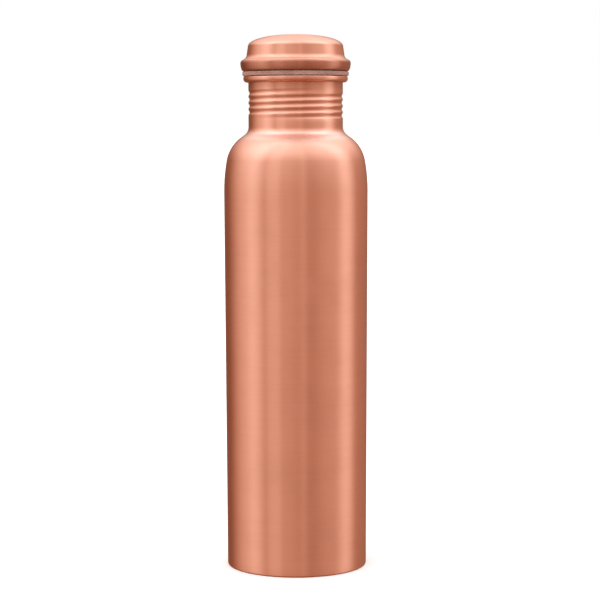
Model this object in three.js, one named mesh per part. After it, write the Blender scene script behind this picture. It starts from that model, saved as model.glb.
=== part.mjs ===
// A sheet-copper water bottle with a screw cap.
//
// The wall, shoulder, threaded neck and curled lip are one spun copper shell, closed below by
// a pressed base plate. The cap is a pressed crown whose rim is curled round the flange of a
// threaded sleeve. The sleeve screws down inside the neck and clamps a silicone gasket on the lip.
//
// Millimetres. The bottle stands on z = 0, and +Z runs up its axis.

import * as THREE from 'three';

// Copper shell of the bottle
const shellSheet = 0.6;
const bodyRadius = 37;            // outside radius at the top of the straight wall
const wallTaper = 0.9;            // how much narrower the wall is where it meets the foot
const footEdgeRadius = 0.8;       // outside bend between the wall and the turned-in foot
const footWidth = 3.1;            // from the wall's outside to the foot's free edge
const wallHeight = 194.3;         // from the surface it stands on to the start of the shoulder
const shoulderEaseRadius = 90;    // slow curve that starts the shoulder
const shoulderEaseAngle = 10;     // degrees that the slow curve turns through
const shoulderRadius = 19;
const neckFilletRadius = 5;
const neckRadius = 24.25;         // outside radius of the neck, which is also the thread's crest
const neckHeight = 22.7;          // from the shoulder to the underside of the lip
const lipOverhang = 2.55;         // how far the lip stands out from the neck
const lipHeight = 3.2;
const lipLowerRadius = 1.8;       // rounding under the lip's outer edge
const lipUpperRadius = 0.8;       // rounding above the lip's outer edge
const mouthEdgeRadius = 1.2;      // rounding where the neck's bore turns out into the lip
const lipSlit = 0.15;             // gap between the curl's free edge and the neck

// Thread rolled into the neck and the sleeve: right-hand, single start
const threadPitch = 3.27;
const threadDepth = 0.6;
const threadTurns = 5;            // turns between the plain ends of the neck
const threadBelowLip = 2.3;       // plain neck left between the thread and the lip
const threadValleyBelowLip = 10.4; // depth of a valley below the lip's underside, on the +X side
const threadFirstTurn = -2.45;    // where the neck's groove starts, in turns from that valley
const threadLastTurn = 1.9;       // where it ends
const threadFadeTurns = 0.35;     // part of a turn over which each end runs out
const threadRowsPerTurn = 5;

// Base plate
const plateSheet = 0.6;
const plateRimWidth = 4.3;        // flat rim that lies on the turned-in foot
const platePush = 2.5;            // how far the middle is pressed up from the rim
const plateStepWidth = 2.5;       // width of the sloping step round the raised middle

// Gasket
const gasketThickness = 2.2;
const gasketProud = 0.5;          // how far the gasket stands out from the lip
const gasketEdgeRadius = 0.6;     // rounding of its outer corners

// Cap
const capSheet = 0.6;
const drumProud = 0.75;           // how far the foot of the drum stands out from the neck
const drumTaper = 0.55;           // how much narrower the drum is below the dome
const drumTopHeight = 12.6;       // from the crown's underside to the top of the drum
const domeRise = 6.3;
const domePower = 2.15;           // 2 makes the dome half an ellipsoid, and more makes it fuller
const beadProud = 1.5;            // how far the rolled bead stands out from the lip
const beadHeight = 4.2;           // from the crown's underside to the bead's widest line
const beadNoseRadius = 1.9;       // rounding above the widest line
const beadFilletRadius = 3;       // hollow curve from there into the drum
const beadFaceRadius = 9;         // slow curve below the widest line
const beadFaceAngle = 20;         // degrees that the slow curve turns through
const beadCornerRadius = 1.8;     // rounding from there to the crown's underside
const sleeveSheet = 0.6;
const sleeveDepth = 17;           // from the top of the lip down to the sleeve's lower edge
const sleeveBendRadius = 0.5;     // outside bend between the sleeve and its flange
const sleeveThreadRunOut = 3;     // height over which the thread fades out above the neck's own

// Clearances
const seatGap = 0.1;              // between faces that rest on each other
const plateGap = 0.2;             // round the base plate's edge
const threadGap = 0.3;            // between the neck's thread and the sleeve's, at every point
const gasketGap = 0.3;            // between the gasket's bore and the sleeve's crests
const curlGap = 0.65;             // between the free edge of the crown's curl and the sleeve

const facets = 32;                // round the axis
const degree = Math.PI / 180;

// Radii that follow from the sizes above
const footRadius = bodyRadius - wallTaper;
const footInnerRadius = footRadius - footWidth;
const boreRadius = neckRadius - shellSheet;
const lipRadius = neckRadius + lipOverhang;
const gasketRadius = lipRadius + gasketProud;
const beadRadius = lipRadius + beadProud;
const drumBottomRadius = neckRadius + drumProud;
const drumTopRadius = drumBottomRadius - drumTaper;
const sleeveRadius = boreRadius - threadGap;
const curlHoleRadius = sleeveRadius + curlGap;

// Heights that follow from them
const shoulderSpan = shoulderRadius + neckFilletRadius;
const shoulderTurnCosine = (shoulderRadius * Math.cos(shoulderEaseAngle * degree)
  + neckFilletRadius + neckRadius - bodyRadius
  + shoulderEaseRadius * (1 - Math.cos(shoulderEaseAngle * degree))) / shoulderSpan;
const shoulderTurnAngle = Math.acos(shoulderTurnCosine) / degree;
const neckBottom = wallHeight
  + (shoulderEaseRadius - shoulderRadius) * Math.sin(shoulderEaseAngle * degree)
  + shoulderSpan * Math.sin(shoulderTurnAngle * degree);
const lipBottom = neckBottom + neckHeight;
const lipTop = lipBottom + lipHeight;
const threadTop = lipBottom - threadBelowLip;
const threadBottom = threadTop - threadTurns * threadPitch;
const gasketBottom = lipTop + seatGap;
const crownBottom = gasketBottom + gasketThickness + seatGap;
const curlTop = crownBottom + capSheet;
const beadLine = crownBottom + beadHeight;
const sleeveBottom = lipTop - sleeveDepth;

// Centre of the rounding that turns the bead under
const beadCornerOffset = beadFaceRadius - beadCornerRadius;
const beadCornerX = beadRadius - beadFaceRadius + beadCornerOffset * Math.cos(beadFaceAngle * degree);
const beadCornerZ = beadLine - beadCornerOffset * Math.sin(beadFaceAngle * degree);

// Points of a profile are (radius, height).
function point(radius, height) {
  return new THREE.Vector2(radius, height);
}

// Points on an arc, in degrees anticlockwise from the outward direction, both ends included.
function arc(centreRadius, centreHeight, radius, from, to, steps) {
  const points = [];
  for (let step = 0; step <= steps; step++) {
    const angle = (from + (to - from) * step / steps) * degree;
    points.push(point(centreRadius + radius * Math.cos(angle), centreHeight + radius * Math.sin(angle)));
  }
  return points;
}

// Evenly spaced points up a straight wall, close enough together to carry the thread.
function threadedWall(radius, bottom, top) {
  const rows = Math.ceil((top - bottom) / threadPitch * threadRowsPerTurn);
  const points = [];
  for (let row = 0; row <= rows; row++) {
    points.push(point(radius, bottom + (top - bottom) * row / rows));
  }
  return points;
}

// Turns a closed profile round the Z axis. The profile runs anticlockwise in (radius, height).
function revolve(profile) {
  const geometry = new THREE.LatheGeometry(profile, facets);
  geometry.rotateX(Math.PI / 2);
  return geometry;
}

// Turns of the thread from its valley on the +X side up to a height, at an angle round the axis.
function turnsUp(height, angle) {
  const fromValley = height - (lipBottom - threadValleyBelowLip);
  return fromValley / threadPitch - angle / (2 * Math.PI);
}

// 0 on a crest and 1 in a valley of the helix.
function helix(height, angle) {
  return (1 + Math.cos(2 * Math.PI * turnsUp(height, angle))) / 2;
}

// Presses the helix into every wall of a turned piece, at the strength given for each place.
function rollThread(geometry, strength) {
  const { position } = geometry.attributes;
  for (let i = 0; i < position.count; i++) {
    const [x, y, z] = [position.getX(i), position.getY(i), position.getZ(i)];
    const angle = Math.atan2(y, x);
    const press = threadDepth * strength(z, angle) * helix(z, angle);
    const scale = 1 - press / Math.hypot(x, y);
    position.setXY(i, x * scale, y * scale);
  }
  geometry.computeVertexNormals();
  return geometry;
}

// The neck's groove runs out at each end as it goes round, whichever valley is nearest.
function neckThreadStrength(height, angle) {
  const turn = Math.round(turnsUp(height, angle)) + angle / (2 * Math.PI);
  return THREE.MathUtils.smoothstep(turn, threadFirstTurn, threadFirstTurn + threadFadeTurns)
    * (1 - THREE.MathUtils.smoothstep(turn, threadLastTurn - threadFadeTurns, threadLastTurn));
}

// The sleeve's thread runs to its lower edge, so that nothing plain has to pass the neck's thread.
function sleeveThreadStrength(height) {
  return 1 - THREE.MathUtils.smoothstep(height, threadTop, threadTop + sleeveThreadRunOut);
}

// One face of the shell from the foot to the bottom of the neck, set in from the outside.
function wallAndShoulder(inset) {
  const ease = shoulderEaseAngle;
  const easeCentre = point(bodyRadius - shoulderEaseRadius, wallHeight);
  const toShoulder = shoulderEaseRadius - shoulderRadius;
  const shoulderCentre = easeCentre.clone().add(
    point(toShoulder * Math.cos(ease * degree), toShoulder * Math.sin(ease * degree)));
  return [
    ...arc(footRadius - footEdgeRadius, footEdgeRadius, footEdgeRadius - inset, -90, 0, 3),
    ...arc(easeCentre.x, easeCentre.y, shoulderEaseRadius - inset, 0, ease, 3),
    ...arc(shoulderCentre.x, shoulderCentre.y, shoulderRadius - inset, ease, shoulderTurnAngle, 7).slice(1),
    ...arc(neckRadius + neckFilletRadius, neckBottom, neckFilletRadius + inset,
      180 + shoulderTurnAngle, 180, 4).slice(1),
  ];
}

// The outward curl of the lip, from the neck's outer face round to its bore.
function lipCurl() {
  const lowerCentre = point(lipRadius - lipLowerRadius, lipBottom + lipLowerRadius);
  const upperCentre = point(lipRadius - lipUpperRadius, lipTop - lipUpperRadius);
  const mouthCentre = point(boreRadius + mouthEdgeRadius, lipTop - mouthEdgeRadius);
  const freeEdge = neckRadius + lipSlit;
  return [
    ...arc(mouthCentre.x, mouthCentre.y, mouthEdgeRadius - shellSheet, 180, 90, 2),
    ...arc(upperCentre.x, upperCentre.y, lipUpperRadius - shellSheet, 90, 0, 2),
    ...arc(lowerCentre.x, lowerCentre.y, lipLowerRadius - shellSheet, 0, -90, 3),
    point(freeEdge, lipBottom + shellSheet),
    point(freeEdge, lipBottom),
    ...arc(lowerCentre.x, lowerCentre.y, lipLowerRadius, -90, 0, 4),
    ...arc(upperCentre.x, upperCentre.y, lipUpperRadius, 0, 90, 3),
    ...arc(mouthCentre.x, mouthCentre.y, mouthEdgeRadius, 90, 180, 3),
  ];
}

function bodyShell() {
  const profile = [
    point(footInnerRadius, 0),
    ...wallAndShoulder(0),
    ...threadedWall(neckRadius, threadBottom, threadTop),
    ...lipCurl(),
    ...threadedWall(boreRadius, threadBottom, threadTop).reverse(),
    ...wallAndShoulder(shellSheet).reverse(),
    point(footInnerRadius, shellSheet),
    point(footInnerRadius, 0),
  ];
  return rollThread(revolve(profile), neckThreadStrength);
}

// A disc that drops in on the turned-in foot, with its middle pressed up clear of the table.
function basePlate() {
  const radius = footRadius - shellSheet - plateGap;
  const bottom = shellSheet + seatGap;
  const stepOuter = radius - plateRimWidth;
  const stepInner = stepOuter - plateStepWidth;
  const raised = bottom + platePush;
  return revolve([
    point(0, raised),
    point(stepInner, raised),
    point(stepOuter, bottom),
    point(radius, bottom),
    point(radius, bottom + plateSheet),
    point(stepOuter, bottom + plateSheet),
    point(stepInner, raised + plateSheet),
    point(0, raised + plateSheet),
  ]);
}

// One face of the crown from the foot of its bead up to the top of the dome, set in from the
// outside. bottom is the height where it starts.
function crownFace(inset, bottom) {
  const corner = beadCornerRadius - inset;
  const cornerStart = -Math.asin((beadCornerZ - bottom) / corner) / degree;
  const noseX = beadRadius - beadNoseRadius;
  const filletOffset = drumBottomRadius + beadFilletRadius - noseX;
  const filletRise = Math.sqrt((beadNoseRadius + beadFilletRadius) ** 2 - filletOffset ** 2);
  const noseAngle = Math.atan2(filletRise, filletOffset) / degree;
  const drumTop = crownBottom + drumTopHeight;
  const dome = arc(0, 0, 1, 0, 90, 7).map((p) => point(
    (drumTopRadius - inset) * p.x ** (2 / domePower),
    drumTop + (domeRise - inset) * p.y ** (2 / domePower)));
  dome.at(-1).x = 0;
  return [
    ...arc(beadCornerX, beadCornerZ, corner, cornerStart, -beadFaceAngle, 3),
    ...arc(beadRadius - beadFaceRadius, beadLine, beadFaceRadius - inset, -beadFaceAngle, 0, 2).slice(1),
    ...arc(noseX, beadLine, beadNoseRadius - inset, 0, noseAngle, 4).slice(1),
    ...arc(noseX + filletOffset, beadLine + filletRise, beadFilletRadius + inset,
      180 + noseAngle, 180, 4).slice(1),
    ...dome,
  ];
}

function capCrown() {
  return revolve([
    ...crownFace(capSheet, curlTop).reverse(),
    point(curlHoleRadius, curlTop),
    point(curlHoleRadius, crownBottom),
    ...crownFace(0, crownBottom),
  ]);
}

// The threaded tube of the cap. Its flange lies inside the crown's curled rim.
function capThreadSleeve() {
  const flangeBottom = curlTop + seatGap;
  const bendHeight = flangeBottom - sleeveBendRadius;
  const bendCentre = sleeveRadius + sleeveBendRadius;
  const flangeRadius = beadCornerX - plateGap
    + Math.sqrt((beadCornerRadius - capSheet) ** 2 - (beadCornerZ - curlTop) ** 2);
  const fadeTop = threadTop + sleeveThreadRunOut;
  const bore = sleeveRadius - sleeveSheet;
  const profile = [
    ...threadedWall(sleeveRadius, sleeveBottom, fadeTop),
    ...arc(bendCentre, bendHeight, sleeveBendRadius, 180, 90, 2),
    point(flangeRadius, flangeBottom),
    point(flangeRadius, flangeBottom + sleeveSheet),
    ...arc(bendCentre, bendHeight, sleeveBendRadius + sleeveSheet, 90, 180, 3),
    ...threadedWall(bore, sleeveBottom, fadeTop).reverse(),
    point(sleeveRadius, sleeveBottom),
  ];
  return rollThread(revolve(profile), sleeveThreadStrength);
}

function capGasket() {
  const bore = sleeveRadius + gasketGap;
  const gasketTop = gasketBottom + gasketThickness;
  const edge = gasketEdgeRadius;
  return revolve([
    point(bore, gasketBottom),
    ...arc(gasketRadius - edge, gasketBottom + edge, edge, -90, 0, 3),
    ...arc(gasketRadius - edge, gasketTop - edge, edge, 0, 90, 3),
    point(bore, gasketTop),
    point(bore, gasketBottom),
  ]);
}

function satinCopper(color) {
  return new THREE.MeshStandardMaterial({ color, roughness: 0.36, metalness: 1 });
}

function named(name, geometry, material) {
  const mesh = new THREE.Mesh(geometry, material);
  mesh.name = name;
  return mesh;
}

const bottle = new THREE.Group();
bottle.add(
  named('body_shell', bodyShell(), satinCopper(0xd98e6e)),
  named('base_plate', basePlate(), satinCopper(0xcf8464)),
);

const cap = new THREE.Group();
cap.add(
  named('cap_gasket', capGasket(), new THREE.MeshStandardMaterial({
    color: 0xd8c8c0, roughness: 0.55, metalness: 0,
  })),
  named('cap_crown', capCrown(), satinCopper(0xd98e6e)),
  named('cap_thread_sleeve', capThreadSleeve(), satinCopper(0xcf8464)),
);

const waterBottle = new THREE.Group();
waterBottle.add(bottle, cap);

export default waterBottle;
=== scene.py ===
"""A sheet-copper water bottle with a screw cap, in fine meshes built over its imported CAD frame.

Metres, with the bottle standing on z = 0 and +Z up its axis. Azimuths are in degrees round that
axis, 0 towards the camera and positive to its right.
"""
from math import acos, asin, atan2, ceil, cos, degrees, hypot, pi, radians, sin, sqrt

import bpy
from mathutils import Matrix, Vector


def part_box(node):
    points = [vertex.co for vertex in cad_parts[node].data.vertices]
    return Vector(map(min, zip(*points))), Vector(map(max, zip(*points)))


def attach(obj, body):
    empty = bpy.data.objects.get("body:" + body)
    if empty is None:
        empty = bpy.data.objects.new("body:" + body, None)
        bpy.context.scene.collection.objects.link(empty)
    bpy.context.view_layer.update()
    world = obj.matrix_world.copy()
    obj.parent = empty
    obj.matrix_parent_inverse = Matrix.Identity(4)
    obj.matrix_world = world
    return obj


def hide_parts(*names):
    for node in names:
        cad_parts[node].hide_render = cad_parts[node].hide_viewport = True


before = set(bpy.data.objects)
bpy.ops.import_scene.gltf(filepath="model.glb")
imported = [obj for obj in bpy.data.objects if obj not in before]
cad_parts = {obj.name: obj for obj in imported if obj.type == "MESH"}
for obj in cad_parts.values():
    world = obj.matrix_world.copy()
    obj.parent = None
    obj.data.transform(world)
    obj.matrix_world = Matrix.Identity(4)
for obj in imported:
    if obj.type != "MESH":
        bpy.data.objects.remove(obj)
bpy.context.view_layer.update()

MM = 0.001

# Copper sheet, the same for every pressed or spun piece
SHEET = 0.6 * MM

# The shell, read from its CAD node and the sizes that shape it
SHELL_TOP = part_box("body_shell")[1].z
BODY_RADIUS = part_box("body_shell")[1].x
WALL_TAPER = 0.9 * MM
FOOT_EDGE_RADIUS = 0.8 * MM
FOOT_WIDTH = 3.1 * MM
WALL_HEIGHT = 194.3 * MM
SHOULDER_EASE_RADIUS = 90 * MM
SHOULDER_EASE_ANGLE = 10
SHOULDER_RADIUS = 19 * MM
NECK_FILLET_RADIUS = 5 * MM
NECK_RADIUS = 24.25 * MM
LIP_HEIGHT = 3.2 * MM
LIP_OVERHANG = 2.55 * MM
LIP_RADIUS = NECK_RADIUS + LIP_OVERHANG
LIP_LOWER_RADIUS = 1.8 * MM
LIP_UPPER_RADIUS = 0.8 * MM
MOUTH_EDGE_RADIUS = 1.2 * MM
LIP_SLIT = 0.15 * MM              # between the curl's free edge and the neck
FOOT_RADIUS = BODY_RADIUS - WALL_TAPER
FOOT_INNER_RADIUS = FOOT_RADIUS - FOOT_WIDTH
BORE_RADIUS = NECK_RADIUS - SHEET
LIP_BOTTOM = SHELL_TOP - LIP_HEIGHT

# The right-hand thread rolled into the neck and the cap's sleeve
THREAD_PITCH = 3.27 * MM
THREAD_DEPTH = 0.6 * MM
THREAD_TURNS = 5
THREAD_TOP = LIP_BOTTOM - 2.3 * MM
THREAD_BOTTOM = THREAD_TOP - THREAD_TURNS * THREAD_PITCH
THREAD_VALLEY = LIP_BOTTOM - 10.4 * MM  # height of a valley on the +X side
THREAD_FIRST_TURN = -2.45         # where the neck's groove starts, in turns from that valley
THREAD_LAST_TURN = 1.9            # where it ends
THREAD_FADE_TURNS = 0.35          # part of a turn over which each end runs out
THREAD_ROWS_PER_TURN = 16

# Painted shade under the lip, and a painted highlight at the neck's foot
PAINTED_SHADE_DEPTH = 5.5 * MM          # how far below the lip the painted shade reaches
# strength of the painted shade under the lip, where the lip's shadow falls
PAINTED_SHADE_UNDER_LIP = 0.85
NECK_FOOT = LIP_BOTTOM - 27 * MM  # where the neck's fillet runs into the shoulder
# strength of the painted highlight round the neck's foot
NECK_FOOT_PAINTED_HIGHLIGHT = 0.6

# The base plate
PLATE_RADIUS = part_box("base_plate")[1].x
PLATE_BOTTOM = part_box("base_plate")[0].z
PLATE_PUSH = 2.5 * MM
PLATE_RIM_WIDTH = 4.3 * MM
PLATE_STEP_WIDTH = 2.5 * MM
PLATE_BEND_RADIUS = 0.9 * MM

# The gasket
GASKET_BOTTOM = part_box("cap_gasket")[0].z
GASKET_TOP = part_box("cap_gasket")[1].z
GASKET_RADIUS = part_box("cap_gasket")[1].x
GASKET_GAP = 0.3 * MM             # between its bore and the sleeve
GASKET_INNER_ROUNDING = 0.25 * MM
GASKET_OUTER_ROUNDING = 0.6 * MM

# The crown of the cap and its threaded sleeve
CROWN_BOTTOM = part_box("cap_crown")[0].z
CROWN_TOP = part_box("cap_crown")[1].z
BEAD_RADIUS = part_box("cap_crown")[1].x
BEAD_LINE = CROWN_BOTTOM + 4.2 * MM   # height of the bead's widest line
BEAD_NOSE_RADIUS = 1.9 * MM       # rounding above it
BEAD_FILLET_RADIUS = 3 * MM       # hollow curve from there into the drum
BEAD_FACE_RADIUS = 9 * MM         # slow curve below it
BEAD_FACE_ANGLE = 20
BEAD_CORNER_RADIUS = 1.8 * MM     # rounding from there to the crown's underside
DOME_RISE = 6.3 * MM
DOME_POWER = 2.15                 # 2 makes the dome half an ellipsoid, and more makes it fuller
DRUM_TOP = CROWN_TOP - DOME_RISE
DRUM_OVERHANG = 0.75 * MM
DRUM_TAPER = 0.55 * MM
DRUM_BOTTOM_RADIUS = NECK_RADIUS + DRUM_OVERHANG
DRUM_TOP_RADIUS = DRUM_BOTTOM_RADIUS - DRUM_TAPER
SLEEVE_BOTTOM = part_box("cap_thread_sleeve")[0].z
SLEEVE_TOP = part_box("cap_thread_sleeve")[1].z
SLEEVE_FLANGE_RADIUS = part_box("cap_thread_sleeve")[1].x
THREAD_GAP = 0.3 * MM              # between the neck's bore and the sleeve
SLEEVE_RADIUS = BORE_RADIUS - THREAD_GAP
SLEEVE_BEND_RADIUS = 0.5 * MM
SLEEVE_RUN_OUT = 3 * MM
CURL_HOLE_GAP = 0.65 * MM         # between the sleeve and the edge of the crown's curl
CURL_HOLE_RADIUS = SLEEVE_RADIUS + CURL_HOLE_GAP

# Meshes
SEGMENTS = 192
LONGEST_ROW = 4 * MM
SAME_POINT = 1e-7
EDGE_RADIUS = 1.2 * MM            # a bend as tight as this counts in full as an edge or a hollow
GENTLE_HOLLOW = 0.3               # and a hollow weaker than this stays clean
CREASE_ANGLE = 35
BAKE_MAP = "OFBake"


# ---- outlines: lists of (radius, height) points ----

def arc(centre, radius, start, end, steps=8):
    """Points on an arc, in degrees anticlockwise from outward, both ends included."""
    points = []
    for step in range(steps + 1):
        angle = radians(start + (end - start) * step / steps)
        points.append((centre[0] + radius * cos(angle), centre[1] + radius * sin(angle)))
    return points


def beyond(centre, radius, angle):
    """The point at that distance and angle from a centre."""
    return (centre[0] + radius * cos(radians(angle)), centre[1] + radius * sin(radians(angle)))


def upright(radius, bottom, top):
    """A straight wall with rows close enough together to carry the thread."""
    rows = ceil((top - bottom) / THREAD_PITCH * THREAD_ROWS_PER_TURN)
    return [(radius, bottom + (top - bottom) * row / rows) for row in range(rows + 1)]


def with_even_rows(outline):
    """The closed outline with its long straight runs divided."""
    rows = []
    for (r0, z0), (r1, z1) in zip(outline, outline[1:] + outline[:1]):
        length = hypot(r1 - r0, z1 - z0)
        if length < SAME_POINT:
            continue
        parts = ceil(length / LONGEST_ROW)
        for part in range(parts):
            share = part / parts
            rows.append((r0 + (r1 - r0) * share, z0 + (z1 - z0) * share))
    return rows


def smoothstep(value, low, high):
    """0 below low, 1 above high, and a smooth step between them."""
    share = min(max((value - low) / (high - low), 0), 1)
    return share * share * (3 - 2 * share)


# ---- turned meshes ----

def turns_up(height, angle):
    """Turns of the thread from its valley on the +X side up to a height, at an angle."""
    return (height - THREAD_VALLEY) / THREAD_PITCH - angle / (2 * pi)


def helix(height, angle):
    """0 on a crest of the thread and 1 in a valley."""
    return (1 + cos(2 * pi * turns_up(height, angle))) / 2


def bend_at(outline, row):
    """How sharply the outline bends at a row: 1 for an outward edge, -1 for a hollow one."""
    (r0, z0), (r1, z1), (r2, z2) = outline[row - 1], outline[row], outline[(row + 1) % len(outline)]
    turn = atan2(z2 - z1, r2 - r1) - atan2(z1 - z0, r1 - r0)
    turn = (turn + pi) % (2 * pi) - pi
    step = (hypot(r1 - r0, z1 - z0) + hypot(r2 - r1, z2 - z1)) / 2
    return max(-1, min(1, turn / step * EDGE_RADIUS))


def nowhere(*_):
    """The strength of a thread, a painted shade or a painted highlight that a piece doesn't have.
    """
    return 0


def ring_size(radius):
    """The vertices in a ring: one where it lies on the axis."""
    return 1 if radius < SAME_POINT else SEGMENTS


def ring_starts(rows):
    """The number of each ring's first vertex."""
    starts = [0]
    for radius, _ in rows:
        starts.append(starts[-1] + ring_size(radius))
    return starts


def lengths_along(rows):
    """The length of the outline up to each row, and back round to the first."""
    lengths = [0]
    for (r0, z0), (r1, z1) in zip(rows, rows[1:] + rows[:1]):
        lengths.append(lengths[-1] + hypot(r1 - r0, z1 - z0))
    return lengths


def turned_faces(rows, poles):
    """The faces between neighbouring rings, with the place of each corner on the bake map."""
    first = ring_starts(rows)
    length = lengths_along(rows)
    faces = []
    places = []
    for row in range(len(rows) - 1 if poles else len(rows)):
        above = (row + 1) % len(rows)
        v_here = length[row] / length[-1]
        v_above = length[row + 1] / length[-1]
        for segment in range(SEGMENTS):
            following = (segment + 1) % SEGMENTS
            u_here = segment / SEGMENTS
            u_next = (segment + 1) / SEGMENTS
            u_middle = (u_here + u_next) / 2
            if ring_size(rows[row][0]) == 1:
                faces.append((first[row], first[above] + following, first[above] + segment))
                places += [(u_middle, v_here), (u_next, v_above), (u_here, v_above)]
            elif ring_size(rows[above][0]) == 1:
                faces.append((first[row] + segment, first[row] + following, first[above]))
                places += [(u_here, v_here), (u_next, v_here), (u_middle, v_above)]
            else:
                faces.append((first[row] + segment, first[row] + following,
                              first[above] + following, first[above] + segment))
                places += [(u_here, v_here), (u_next, v_here), (u_next, v_above), (u_here, v_above)]
    return faces, places


def turned(name, outline, thread=nowhere, painted_shading=nowhere, painted_highlighting=nowhere, poles=False):
    """Turns an outline, anticlockwise in (radius, height), round the Z axis into a smooth mesh.

    With poles, the outline's first and last points lie on the axis. Otherwise it closes on itself.
    The "edge" and "groove" attributes say where a hand and a polishing wheel reach most and least,
    and the other two carry the painted shade and the painted highlight at each height, from 0 to 1.
    """
    rows = outline if poles else with_even_rows(outline)
    verts = []
    marks = {"edge": [], "groove": [], "painted_shade": [], "painted_highlight": []}
    for index, (radius, height) in enumerate(rows):
        bend = bend_at(rows, index)
        for segment in range(ring_size(radius)):
            angle = 2 * pi * segment / SEGMENTS
            strength = thread(height, angle)
            valley = strength * helix(height, angle)
            pressed = radius - THREAD_DEPTH * valley
            verts.append((pressed * cos(angle), pressed * sin(angle), height))
            marks["edge"].append(max(bend, strength - valley, 0))
            marks["groove"].append(max(-bend - GENTLE_HOLLOW, valley, 0))
            marks["painted_shade"].append(painted_shading(height))
            marks["painted_highlight"].append(painted_highlighting(height))

    faces, places = turned_faces(rows, poles)
    mesh = bpy.data.meshes.new(name)
    mesh.from_pydata(verts, [], faces)
    bake_map = mesh.uv_layers.new(name=BAKE_MAP)
    for corner, place in enumerate(places):
        bake_map.data[corner].uv = place
    for mark, values in marks.items():
        mesh.attributes.new(mark, "FLOAT", "POINT").data.foreach_set("value", values)
    mesh.shade_smooth()
    mesh.set_sharp_from_angle(angle=radians(CREASE_ANGLE))
    piece = bpy.data.objects.new(name, mesh)
    bpy.context.scene.collection.objects.link(piece)
    return piece


# ---- the bottle ----

def shoulder_turn():
    """The angle at which the shoulder's arc meets the neck's fillet."""
    ease = radians(SHOULDER_EASE_ANGLE)
    across = (SHOULDER_RADIUS * cos(ease) + NECK_FILLET_RADIUS + NECK_RADIUS - BODY_RADIUS
              + SHOULDER_EASE_RADIUS * (1 - cos(ease)))
    return degrees(acos(across / (SHOULDER_RADIUS + NECK_FILLET_RADIUS)))


def wall_and_shoulder(inset):
    """One face of the shell from its foot to the bottom of the neck, set in from the outside."""
    turn = shoulder_turn()
    ease_centre = (BODY_RADIUS - SHOULDER_EASE_RADIUS, WALL_HEIGHT)
    ease_to_shoulder = SHOULDER_EASE_RADIUS - SHOULDER_RADIUS
    shoulder_centre = beyond(ease_centre, ease_to_shoulder, SHOULDER_EASE_ANGLE)
    fillet_centre = beyond(shoulder_centre, SHOULDER_RADIUS + NECK_FILLET_RADIUS, turn)
    foot_centre = (FOOT_RADIUS - FOOT_EDGE_RADIUS, FOOT_EDGE_RADIUS)
    return [
        *arc(foot_centre, FOOT_EDGE_RADIUS - inset, -90, 0, 6),
        *arc(ease_centre, SHOULDER_EASE_RADIUS - inset, 0, SHOULDER_EASE_ANGLE, 8),
        *arc(shoulder_centre, SHOULDER_RADIUS - inset, SHOULDER_EASE_ANGLE, turn, 24)[1:],
        *arc(fillet_centre, NECK_FILLET_RADIUS + inset, 180 + turn, 180, 12)[1:],
    ]


def lip():
    """The outward curl at the mouth, from the neck's bore round to its outer face, and back."""
    lower = (LIP_RADIUS - LIP_LOWER_RADIUS, LIP_BOTTOM + LIP_LOWER_RADIUS)
    upper = (LIP_RADIUS - LIP_UPPER_RADIUS, SHELL_TOP - LIP_UPPER_RADIUS)
    mouth = (BORE_RADIUS + MOUTH_EDGE_RADIUS, SHELL_TOP - MOUTH_EDGE_RADIUS)
    free_edge = NECK_RADIUS + LIP_SLIT
    return [
        *arc(mouth, MOUTH_EDGE_RADIUS - SHEET, 180, 90, 6),
        *arc(upper, LIP_UPPER_RADIUS - SHEET, 90, 0, 5),
        *arc(lower, LIP_LOWER_RADIUS - SHEET, 0, -90, 6),
        (free_edge, LIP_BOTTOM + SHEET),
        (free_edge, LIP_BOTTOM),
        *arc(lower, LIP_LOWER_RADIUS, -90, 0, 10),
        *arc(upper, LIP_UPPER_RADIUS, 0, 90, 8),
        *arc(mouth, MOUTH_EDGE_RADIUS, 90, 180, 8),
    ]


def neck_thread(height, angle):
    """The neck's groove runs out at each end as it goes round, whichever valley is nearest."""
    turn = round(turns_up(height, angle)) + angle / (2 * pi)
    return (smoothstep(turn, THREAD_FIRST_TURN, THREAD_FIRST_TURN + THREAD_FADE_TURNS)
            * (1 - smoothstep(turn, THREAD_LAST_TURN - THREAD_FADE_TURNS, THREAD_LAST_TURN)))


def painted_shade_under_lip(height):
    """Painted shade on the neck just under the lip, where the lip shades it."""
    if height > LIP_BOTTOM:
        return 0
    return PAINTED_SHADE_UNDER_LIP * smoothstep(height, LIP_BOTTOM - PAINTED_SHADE_DEPTH, LIP_BOTTOM - 0.2 * MM)


def painted_highlight_at_neck_foot(height):
    """A painted highlight of paler copper round the hollow at the neck's foot."""
    return NECK_FOOT_PAINTED_HIGHLIGHT * (1 - smoothstep(abs(height - NECK_FOOT), 1 * MM, 3 * MM))


def make_shell():
    """The wall, shoulder, neck and lip, which are one sheet, up the outside and down the inside."""
    outline = [
        (FOOT_INNER_RADIUS, 0),
        *wall_and_shoulder(0),
        *upright(NECK_RADIUS, THREAD_BOTTOM, THREAD_TOP),
        *lip(),
        *reversed(upright(BORE_RADIUS, THREAD_BOTTOM, THREAD_TOP)),
        *reversed(wall_and_shoulder(SHEET)),
        (FOOT_INNER_RADIUS, SHEET),
    ]
    return turned("spun_shell", outline, neck_thread, painted_shade_under_lip, painted_highlight_at_neck_foot)


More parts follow.
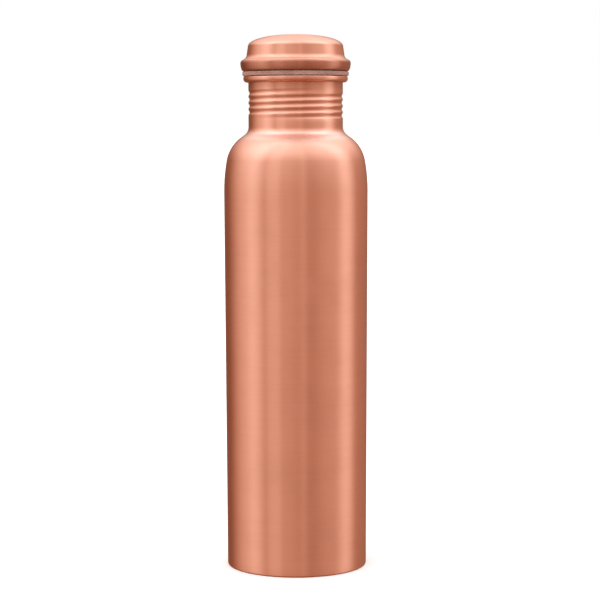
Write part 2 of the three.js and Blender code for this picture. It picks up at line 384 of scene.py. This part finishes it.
def make_base():
    """A disc that drops in on the turned-in foot, its middle pressed up over rounded bends."""
    outer = PLATE_RADIUS - PLATE_RIM_WIDTH
    inner = outer - PLATE_STEP_WIDTH
    slope = degrees(atan2(PLATE_PUSH, PLATE_STEP_WIDTH))
    bend = PLATE_BEND_RADIUS
    tangent = (bend + SHEET / 2) * sin(radians(slope)) / (1 + cos(radians(slope)))

    def face(lift):
        bottom = PLATE_BOTTOM + lift
        lower = (outer + tangent, PLATE_BOTTOM + bend + SHEET)
        upper = (inner - tangent, PLATE_BOTTOM + PLATE_PUSH - bend)
        low_radius = bend + SHEET - lift
        high_radius = bend + lift
        return [
            (0, bottom + PLATE_PUSH),
            (inner / 3, bottom + PLATE_PUSH),
            (inner * 2 / 3, bottom + PLATE_PUSH),
            *arc(upper, high_radius, 90, 90 - slope, 6),
            *arc(lower, low_radius, 270 - slope, 270, 6),
            (PLATE_RADIUS, bottom),
        ]

    return turned("pressed_base", [*face(0), *reversed(face(SHEET))], poles=True)


# ---- the cap ----

def crown_face(inset, bottom):
    """One face of the crown, from the foot of its bead up to the top of the dome."""
    face_centre = (BEAD_RADIUS - BEAD_FACE_RADIUS, BEAD_LINE)
    corner_centre = beyond(face_centre, BEAD_FACE_RADIUS - BEAD_CORNER_RADIUS, -BEAD_FACE_ANGLE)
    corner = BEAD_CORNER_RADIUS - inset
    corner_start = -degrees(asin((corner_centre[1] - bottom) / corner))
    nose = (BEAD_RADIUS - BEAD_NOSE_RADIUS, BEAD_LINE)
    reach = DRUM_BOTTOM_RADIUS + BEAD_FILLET_RADIUS - nose[0]
    rise = sqrt((BEAD_NOSE_RADIUS + BEAD_FILLET_RADIUS) ** 2 - reach ** 2)
    turn = degrees(atan2(rise, reach))
    fillet_centre = (nose[0] + reach, nose[1] + rise)
    dome = [((DRUM_TOP_RADIUS - inset) * abs(x) ** (2 / DOME_POWER),
             DRUM_TOP + (DOME_RISE - inset) * y ** (2 / DOME_POWER))
            for x, y in arc((0, 0), 1, 0, 90, 40)]
    dome[-1] = (0, dome[-1][1])
    return [
        *arc(corner_centre, corner, corner_start, -BEAD_FACE_ANGLE, 8),
        *arc(face_centre, BEAD_FACE_RADIUS - inset, -BEAD_FACE_ANGLE, 0, 6)[1:],
        *arc(nose, BEAD_NOSE_RADIUS - inset, 0, turn, 10)[1:],
        *arc(fillet_centre, BEAD_FILLET_RADIUS + inset, 180 + turn, 180, 12)[1:],
        *dome,
    ]


def painted_shade_bead(height):
    """Painted shade over the bead's downward face, up to its rounded top."""
    nose_top = BEAD_LINE + BEAD_NOSE_RADIUS
    return 1 - smoothstep(height, nose_top - 0.9 * MM, nose_top - 0.2 * MM)


def make_crown():
    """The dome, drum and bead, with the rim curled in under the sleeve's flange."""
    curl_top = CROWN_BOTTOM + SHEET
    outline = [
        *reversed(crown_face(SHEET, curl_top)),
        (CURL_HOLE_RADIUS, curl_top),
        (CURL_HOLE_RADIUS, CROWN_BOTTOM),
        *crown_face(0, CROWN_BOTTOM),
    ]
    return turned("pressed_crown", outline, painted_shading=painted_shade_bead, poles=True)


def sleeve_thread(height, _angle):
    """The sleeve's thread runs out evenly all round, towards its flange."""
    return 1 - smoothstep(height, THREAD_TOP, THREAD_TOP + SLEEVE_RUN_OUT)


def make_sleeve():
    """The threaded tube of the cap, with the flange that the crown's rim is curled round."""
    fade_top = THREAD_TOP + SLEEVE_RUN_OUT
    bore = SLEEVE_RADIUS - SHEET
    bend = (SLEEVE_RADIUS + SLEEVE_BEND_RADIUS, SLEEVE_TOP - SHEET - SLEEVE_BEND_RADIUS)
    outline = [
        *upright(SLEEVE_RADIUS, SLEEVE_BOTTOM, fade_top),
        *arc(bend, SLEEVE_BEND_RADIUS, 180, 90, 5),
        (SLEEVE_FLANGE_RADIUS, SLEEVE_TOP - SHEET),
        (SLEEVE_FLANGE_RADIUS, SLEEVE_TOP),
        *arc(bend, SLEEVE_BEND_RADIUS + SHEET, 90, 180, 8),
        *reversed(upright(bore, SLEEVE_BOTTOM, fade_top)),
    ]
    return turned("threaded_sleeve", outline, sleeve_thread)


def make_gasket():
    """A flat silicone washer with a rounded outer edge."""
    bore = SLEEVE_RADIUS + GASKET_GAP
    inner = GASKET_INNER_ROUNDING
    outer = GASKET_OUTER_ROUNDING
    outline = [
        *arc((bore + inner, GASKET_BOTTOM + inner), inner, 180, 270, 4),
        *arc((GASKET_RADIUS - outer, GASKET_BOTTOM + outer), outer, -90, 0, 8),
        *arc((GASKET_RADIUS - outer, GASKET_TOP - outer), outer, 0, 90, 8),
        *arc((bore + inner, GASKET_TOP - inner), inner, 90, 180, 4),
    ]
    return turned("silicone_ring", outline)


# ---- materials ----

PINK_COPPER = (0.95, 0.51, 0.37, 1)
# paler copper for the painted highlight at the neck's foot
PAINTED_HIGHLIGHT_COPPER = (0.96, 0.74, 0.64, 1)
# browner copper, for tarnish and for the painted shade
BROWN_COPPER = (0.60, 0.28, 0.19, 1)
PLAIN_COPPER = (0.88, 0.44, 0.31, 1)
PLAIN_TARNISH = (0.62, 0.27, 0.18, 1)
SILICONE = (0.30, 0.150, 0.112, 1)
SILICONE_CLOUD = (0.36, 0.205, 0.160, 1)
FLOOR_WHITE = (0.88, 0.88, 0.88, 1)
FLOOR_MOTTLE = (0.92, 0.92, 0.92, 1)

# How much each mark on copper darkens it (tarnish, and painted shade from the lip and bead marks),
# and how much each roughens it
TARNISH_AND_PAINTED_SHADE = {"clouds": 0.15, "groove": 0.2, "scratches": 0.06, "painted_shade": 0.9}
ROUGHENING = {"fine": 0.05, "coarse": 0.03, "smudges": 0.04, "groove": 0.08, "edge": -0.05}
# Brush marks: how many to a metre along the profile, and how much they vary round the axis
FINE_BRUSHING = (5200, 2.5)
COARSE_BRUSHING = (900, 0.8)
# Scales of the other marks, as noise cells to a metre
CLOUDS = 38
SMUDGES = 95
SILICONE_CLOUDS = 160
SILICONE_DUST = 1400
FLOOR_MOTTLES = 3.0


def add(tree, kind, inputs=None, **settings):
    """Adds a shader node, and fills its inputs with numbers or with other nodes' outputs."""
    node = tree.nodes.new("ShaderNode" + kind)
    for key, value in settings.items():
        setattr(node, key, value)
    for key, value in (inputs or {}).items():
        if isinstance(value, bpy.types.NodeSocket):
            tree.links.new(value, node.inputs[key])
        else:
            node.inputs[key].default_value = value
    return node


def calc(tree, operation, *values):
    """The output of one arithmetic node."""
    return add(tree, "Math", dict(enumerate(values)), operation=operation).outputs[0]


def between(tree, value, low, high, to_low=0.0, to_high=1.0):
    """A value carried smoothly from one range to another, and held at its ends."""
    inputs = {
        "Value": value,
        "From Min": low,
        "From Max": high,
        "To Min": to_low,
        "To Max": to_high,
    }
    return add(tree, "MapRange", inputs, interpolation_type="SMOOTHSTEP").outputs["Result"]


def mixed(tree, share, first, second):
    """Two colours mixed by a share from 0 to 1."""
    node = add(tree, "Mix", data_type="RGBA")
    for socket, value in ((0, share), (6, first), (7, second)):
        if isinstance(value, bpy.types.NodeSocket):
            tree.links.new(value, node.inputs[socket])
        else:
            node.inputs[socket].default_value = value
    return node.outputs[2]


def noise(tree, vector, scale, detail=2.0, roughness=0.5):
    """Soft noise from 0 to 1."""
    inputs = {"Vector": vector, "Scale": scale, "Detail": detail, "Roughness": roughness}
    return add(tree, "TexNoise", inputs).outputs["Fac"]


def around_axis(tree):
    """The place on the piece, its heading from the axis and its distance along the profile.

    That distance is height less radius, which grows up a wall, over a shoulder and across a dome.
    """
    place = add(tree, "TexCoord").outputs["Object"]
    parts = add(tree, "SeparateXYZ", {0: place}).outputs
    flat = add(tree, "CombineXYZ", {0: parts[0], 1: parts[1]}).outputs[0]
    radius = add(tree, "VectorMath", {0: flat}, operation="LENGTH").outputs["Value"]
    heading = add(tree, "VectorMath", {0: flat}, operation="NORMALIZE").outputs[0]
    along = calc(tree, "SUBTRACT", parts[2], radius)
    return place, heading, along


def brushed(tree, heading, along, lines_per_metre, turn_detail):
    """Noise drawn out into lines round the axis."""
    stretch = (turn_detail,) * 3
    turning = add(tree, "VectorMath", {0: heading, 1: stretch}, operation="MULTIPLY").outputs[0]
    across = calc(tree, "MULTIPLY", along, lines_per_metre)
    rising = add(tree, "CombineXYZ", {2: across}).outputs[0]
    vector = add(tree, "VectorMath", {0: turning, 1: rising}, operation="ADD").outputs[0]
    return noise(tree, vector, 1.0, detail=3.0, roughness=0.6)


def mark(tree, name):
    """One of the attributes that a turned mesh carries."""
    return add(tree, "Attribute", attribute_name=name).outputs["Fac"]


def summed(tree, start, shares, marks):
    """A number plus each mark times its share."""
    total = start
    for name, share in shares.items():
        total = calc(tree, "MULTIPLY_ADD", marks[name], share, total)
    return total


def new_material(name):
    """A material with an empty node tree, and the tree."""
    material = bpy.data.materials.new(name)
    material.use_nodes = True
    material.node_tree.nodes.clear()
    return material, material.node_tree


def copper(name, polished, tarnish_and_shade, roughness, brush_height):
    """Satin copper, brushed round the axis, duller in its hollows and brighter on its edges, with
    painted shade and a painted highlight where the mesh marks them.
    """
    material, tree = new_material(name)
    place, heading, along = around_axis(tree)
    marks = {kind: mark(tree, kind) for kind in ("edge", "groove", "painted_shade")}
    marks["fine"] = brushed(tree, heading, along, *FINE_BRUSHING)
    marks["coarse"] = brushed(tree, heading, along, *COARSE_BRUSHING)
    marks["scratches"] = between(tree, marks["coarse"], 0.35, 0.75)
    clouds = noise(tree, place, CLOUDS, detail=4.0, roughness=0.6)
    marks["clouds"] = between(tree, clouds, 0.42, 0.75)
    marks["smudges"] = between(tree, noise(tree, place, SMUDGES, detail=3.0), 0.52, 0.72)

    # the polished colour, with the painted highlight of paler copper mixed in where the mesh marks
    # it
    polish_and_painted_highlight = mixed(tree, mark(tree, "painted_highlight"), polished, PAINTED_HIGHLIGHT_COPPER)
    # tarnish from the clouds, grooves and scratches, and painted shade where the mesh marks it
    colour = mixed(tree, summed(tree, 0.0, TARNISH_AND_PAINTED_SHADE, marks), polish_and_painted_highlight, tarnish_and_shade)
    rough = summed(tree, roughness, ROUGHENING, marks)
    lines = calc(tree, "MULTIPLY_ADD", marks["coarse"], 0.5, marks["fine"])
    bump = add(tree, "Bump", {"Height": lines, "Strength": 1.0, "Distance": brush_height})
    tangent = add(tree, "Tangent", direction_type="RADIAL", axis="Z")
    shader = add(tree, "BsdfPrincipled", {
        "Base Color": colour,
        "Metallic": 1.0,
        "Roughness": rough,
        "Anisotropic": 0.8,
        "Anisotropic Rotation": 0.25,
        "Normal": bump.outputs[0],
        "Tangent": tangent.outputs[0],
    })
    output = add(tree, "OutputMaterial", {"Surface": shader.outputs[0]})
    output.is_active_output = True
    return material


def silicone():
    """Milky translucent silicone, a little cloudy inside and dusty on its face."""
    material, tree = new_material("silicone")
    place = add(tree, "TexCoord").outputs["Object"]
    clouds = between(tree, noise(tree, place, SILICONE_CLOUDS, detail=3.0), 0.3, 0.7)
    dust = noise(tree, place, SILICONE_DUST)
    colour = mixed(tree, clouds, SILICONE, SILICONE_CLOUD)
    bump = add(tree, "Bump", {"Height": dust, "Strength": 0.3, "Distance": 0.02 * MM})
    shader = add(tree, "BsdfPrincipled", {
        "Base Color": colour,
        "Roughness": between(tree, dust, 0.3, 0.7, 0.42, 0.6),
        "Subsurface Weight": 0.5,
        "Subsurface Radius": (1.0, 0.7, 0.55),
        "Subsurface Scale": 1.2 * MM,
        "Normal": bump.outputs[0],
    })
    add(tree, "OutputMaterial", {"Surface": shader.outputs[0]})
    return material


def plain_white():
    """The floor's matt white, with the faintest mottle."""
    material, tree = new_material("floor_white")
    place = add(tree, "TexCoord").outputs["Object"]
    colour = mixed(tree, noise(tree, place, FLOOR_MOTTLES), FLOOR_WHITE, FLOOR_MOTTLE)
    shader = add(tree, "BsdfPrincipled", {
        "Base Color": colour,
        "Roughness": 0.9,
        "Specular IOR Level": 0.1,
    })
    add(tree, "OutputMaterial", {"Surface": shader.outputs[0]})
    return material


# ---- studio ----

# Upright soft panels round the bottle: azimuth, half width, softness of the edges, strength
PANELS = (
    (-85, 30, 29, 0.70),
    (-71, 12, 9, 0.27),
    (-37, 11, 3, 0.28),
    (-16, 27, 25, 0.45),
    (12, 4, 4, 0.19),
    (51, 31, 26, 0.26),
    (98, 56, 47, 0.25),
    (91, 14, 12, 0.58),
)
PANEL_LEVEL = 1.07                 # what their strengths are multiplied by at full height
PANEL_HEIGHT = 20                  # elevation at which they are in full, in degrees
UNLIT = 0.15                       # light level between the panels
# A bright ceiling, brightest above and behind the bottle
CEILING_MIDDLE = (0, 0.5, 0.866)
CEILING_LEVEL = 0.40
CEILING_FALLOFF = 0.85
CEILING_EDGE = 40                  # elevation at which it is in full, in degrees
# The panels are a little warm, and the dimmer the light the warmer it is
TINT = (0.98, 0.82, 0.77)
WARMTH = (0.75, 1.12, 1.36)        # powers that make a light level a colour
MATT_GAIN = 1.3                    # the neutral light on matt surfaces, against the same level

FLOOR_REACH = 60.0
FLOOR_DROP = 0.1 * MM

CAMERA_PLACE = (0.0022, -1.0, 0.2266)
CAMERA_PITCH = 5.07                # degrees down
CAMERA_ROLL = 0.155
SENSOR_WIDTH = 36
LENS = 116.24


def panel_light(tree, azimuth, centre, half_width, softness, strength):
    """The light of one panel, by azimuth only."""
    offset = calc(tree, "WRAP", calc(tree, "SUBTRACT", azimuth, radians(centre)), pi, -pi)
    away = calc(tree, "ABSOLUTE", offset)
    inner = radians(half_width - softness)
    outer = radians(half_width + softness)
    return between(tree, away, inner, outer, strength, 0.0)


def all_panels(tree, azimuth, elevation):
    """The light of the panels, fading towards the floor."""
    light = 0.0
    for panel in PANELS:
        light = calc(tree, "ADD", light, panel_light(tree, azimuth, *panel))
    height = between(tree, elevation, radians(-90), radians(PANEL_HEIGHT), 0.0, PANEL_LEVEL)
    return calc(tree, "MULTIPLY_ADD", light, height, UNLIT)


def ceiling_light(tree, direction, elevation):
    """The light of the ceiling, from nothing at the horizon."""
    inputs = {0: direction, 1: CEILING_MIDDLE}
    toward = add(tree, "VectorMath", inputs, operation="DOT_PRODUCT").outputs["Value"]
    level = calc(tree, "MULTIPLY_ADD", toward, CEILING_FALLOFF, CEILING_LEVEL)
    return calc(tree, "MULTIPLY", level, between(tree, elevation, 0.0, radians(CEILING_EDGE)))


def make_surroundings():
    """Panels and a ceiling for the copper to reflect, and a plain white backdrop."""
    world = bpy.data.worlds.new("studio")
    world.use_nodes = True
    tree = world.node_tree
    tree.nodes.clear()
    direction = add(tree, "TexCoord").outputs["Generated"]
    parts = add(tree, "SeparateXYZ", {0: direction}).outputs
    azimuth = calc(tree, "ARCTAN2", parts[0], calc(tree, "MULTIPLY", parts[1], -1.0))
    elevation = calc(tree, "ARCSINE", parts[2])
    light = calc(tree, "ADD", all_panels(tree, azimuth, elevation),
                 ceiling_light(tree, direction, elevation))
    channels = [calc(tree, "MULTIPLY", calc(tree, "POWER", light, power), tint)
                for power, tint in zip(WARMTH, TINT)]
    reflected = add(tree, "CombineColor", dict(enumerate(channels))).outputs[0]

    rays = add(tree, "LightPath").outputs
    matt = calc(tree, "MULTIPLY", light, MATT_GAIN)
    lit = mixed(tree, rays["Is Diffuse Ray"], reflected, matt)
    colour = mixed(tree, rays["Is Camera Ray"], lit, (1.0, 1.0, 1.0, 1))
    shader = add(tree, "Background", {"Color": colour, "Strength": 1.0})
    add(tree, "OutputWorld", {"Surface": shader.outputs[0]})
    bpy.context.scene.world = world


def make_floor():
    """A floor out to the horizon, a hair below the foot so that no two faces share a plane."""
    corners = [(x * FLOOR_REACH, y * FLOOR_REACH, -FLOOR_DROP)
               for x, y in ((-1, -1), (1, -1), (1, 1), (-1, 1))]
    mesh = bpy.data.meshes.new("floor")
    mesh.from_pydata(corners, [], [(0, 1, 2, 3)])
    floor = bpy.data.objects.new("floor", mesh)
    bpy.context.scene.collection.objects.link(floor)
    floor.data.materials.append(plain_white())
    floor.visible_glossy = False


def make_camera():
    """A long lens a metre in front, level with the foot of the neck and looking slightly down."""
    camera = bpy.data.cameras.new("camera")
    camera.sensor_width = SENSOR_WIDTH
    camera.lens = LENS
    holder = bpy.data.objects.new("camera", camera)
    holder.location = CAMERA_PLACE
    holder.rotation_euler = (radians(90 - CAMERA_PITCH), radians(CAMERA_ROLL), 0)
    bpy.context.scene.collection.objects.link(holder)
    bpy.context.scene.camera = holder


def finish_piece(piece, material, body, node):
    """Gives a piece its material, and its place in the frame."""
    piece.data.materials.append(material)
    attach(piece, body)
    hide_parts(node)


brushed_copper = copper("brushed_copper", PINK_COPPER, BROWN_COPPER, 0.25, 0.0015 * MM)
plain_copper = copper("plain_copper", PLAIN_COPPER, PLAIN_TARNISH, 0.32, 0.003 * MM)

finish_piece(make_shell(), brushed_copper, "bottle", "body_shell")
finish_piece(make_base(), plain_copper, "bottle", "base_plate")
finish_piece(make_gasket(), silicone(), "gasket", "cap_gasket")
finish_piece(make_crown(), brushed_copper, "cap", "cap_crown")
finish_piece(make_sleeve(), plain_copper, "cap", "cap_thread_sleeve")

make_surroundings()
make_floor()
make_camera()
bpy.context.scene.view_settings.view_transform = "Standard"
